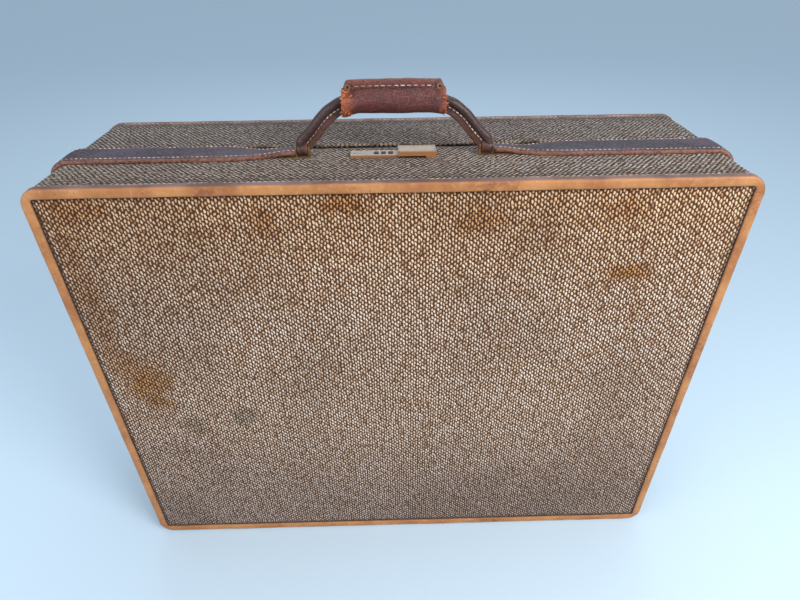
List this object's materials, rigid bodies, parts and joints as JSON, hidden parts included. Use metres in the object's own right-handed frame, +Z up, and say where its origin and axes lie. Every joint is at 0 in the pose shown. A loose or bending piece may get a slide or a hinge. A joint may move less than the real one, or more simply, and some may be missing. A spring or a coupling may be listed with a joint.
{
  "type": "hard-sided travel case",
  "caption": "Upright hard-sided clamshell travel case covered in tweed, with leather binding and straps, a leather handle and a combination lock.",
  "frame": {"origin": "on the floor, under the middle of the standing case", "axes": "+X along the case, to the right seen from the front; +Y from the front (body) face to the back (lid) face; +Z up, from the hinge edge to the handle edge"},
  "size_m": [0.6704, 0.196, 0.5741],
  "materials": {
    "rail_wood": "sanded basswood, unfinished",
    "panel_wood": "plywood, unfinished",
    "tweed": "nubby woven tweed, cream and dark brown",
    "binding_leather": "tan vegetable-tanned edge binding, scuffed",
    "strap_leather": "dark burnished strap leather, stitched edges",
    "grip_leather": "red-brown grained leather, worn",
    "brass": "aged satin brass",
    "steel": "zinc-plated steel",
    "edge_metal": "satin valance strip",
    "lining_cloth": "plain-woven rayon lining",
    "webbing": "cotton webbing",
    "dial_enamel": "black number wheels"
  },
  "bodies": {
    "body": {"body_rails": "rail_wood", "body_corner_blocks": "rail_wood", "body_panel": "panel_wood", "body_tweed_sides": "tweed", "body_tweed_face": "tweed", "body_binding": "binding_leather", "body_valance": "edge_metal", "body_lining": "lining_cloth", "tie_strap_left": "webbing", "tie_strap_right": "webbing", "tie_strap_anchors": "brass", "tie_buckles": "brass", "strap_rivets": "brass", "handle_base_left": "brass", "handle_base_right": "brass", "handle_base_screws": "brass", "lock_plate": "brass", "lock_screws": "brass", "hinge_rivets_body": "brass", "feet_body": "brass", "hinge_body_leaf_left": "brass", "hinge_body_leaf_centre": "brass", "hinge_body_leaf_right": "brass", "strap_left": "strap_leather", "strap_right": "strap_leather", "lock_case": "steel", "dial_shaft": "steel", "latch_spring": "steel", "hinge_pin_left": "steel", "hinge_pin_centre": "steel", "hinge_pin_right": "steel"},
    "lid": {"lid_rails": "rail_wood", "lid_corner_blocks": "rail_wood", "lid_panel": "panel_wood", "lid_tweed_sides": "tweed", "lid_tweed_face": "tweed", "lid_binding": "binding_leather", "lid_valance": "edge_metal", "lid_lining": "lining_cloth", "lid_pocket": "lining_cloth", "lid_pocket_trim": "strap_leather", "catch_plate": "steel", "catch_rivets": "steel", "hinge_rivets_lid": "brass", "feet_lid": "brass", "hinge_lid_leaf_left": "brass", "hinge_lid_leaf_centre": "brass", "hinge_lid_leaf_right": "brass"},
    "handle": {"handle_core": "steel", "handle_grip": "grip_leather", "handle_arm_left": "strap_leather", "handle_arm_right": "strap_leather", "handle_eyelets": "brass"},
    "latch": {"latch_slide": "brass", "latch_bolt": "steel"},
    "dial_1": {"dial_1": "dial_enamel"},
    "dial_2": {"dial_2": "dial_enamel"},
    "dial_3": {"dial_3": "dial_enamel"},
    "change_lever": {"change_lever": "steel"}
  },
  "joints": [
    {"name": "lid_hinge", "type": "hinge", "parent": "body", "child": "lid", "pos_m": [0, 0, 0.0021], "axis": [-1, 0, 0], "range_deg": [0, 170]},
    {"name": "handle_pivot", "type": "hinge", "parent": "body", "child": "handle", "pos_m": [0, -0.0245, 0.5106], "axis": [1, 0, 0], "range_deg": [-80, 80]},
    {"name": "latch_travel", "type": "slide", "parent": "body", "child": "latch", "axis": [1, 0, 0], "range_m": [0, 0.007], "stiffness_N_per_m": 150, "deforming": ["latch_spring"]},
    {"name": "change_lever_travel", "type": "slide", "parent": "body", "child": "change_lever", "axis": [1, 0, 0], "range_m": [0, 0.002]},
    {"name": "dial_1_turn", "type": "hinge", "parent": "body", "child": "dial_1", "pos_m": [-0.018, -0.026, 0.5009], "axis": [1, 0, 0], "continuous": true},
    {"name": "dial_2_turn", "type": "hinge", "parent": "body", "child": "dial_2", "pos_m": [-0.011, -0.026, 0.5009], "axis": [1, 0, 0], "continuous": true},
    {"name": "dial_3_turn", "type": "hinge", "parent": "body", "child": "dial_3", "pos_m": [-0.004, -0.026, 0.5009], "axis": [1, 0, 0], "continuous": true}
  ]
}
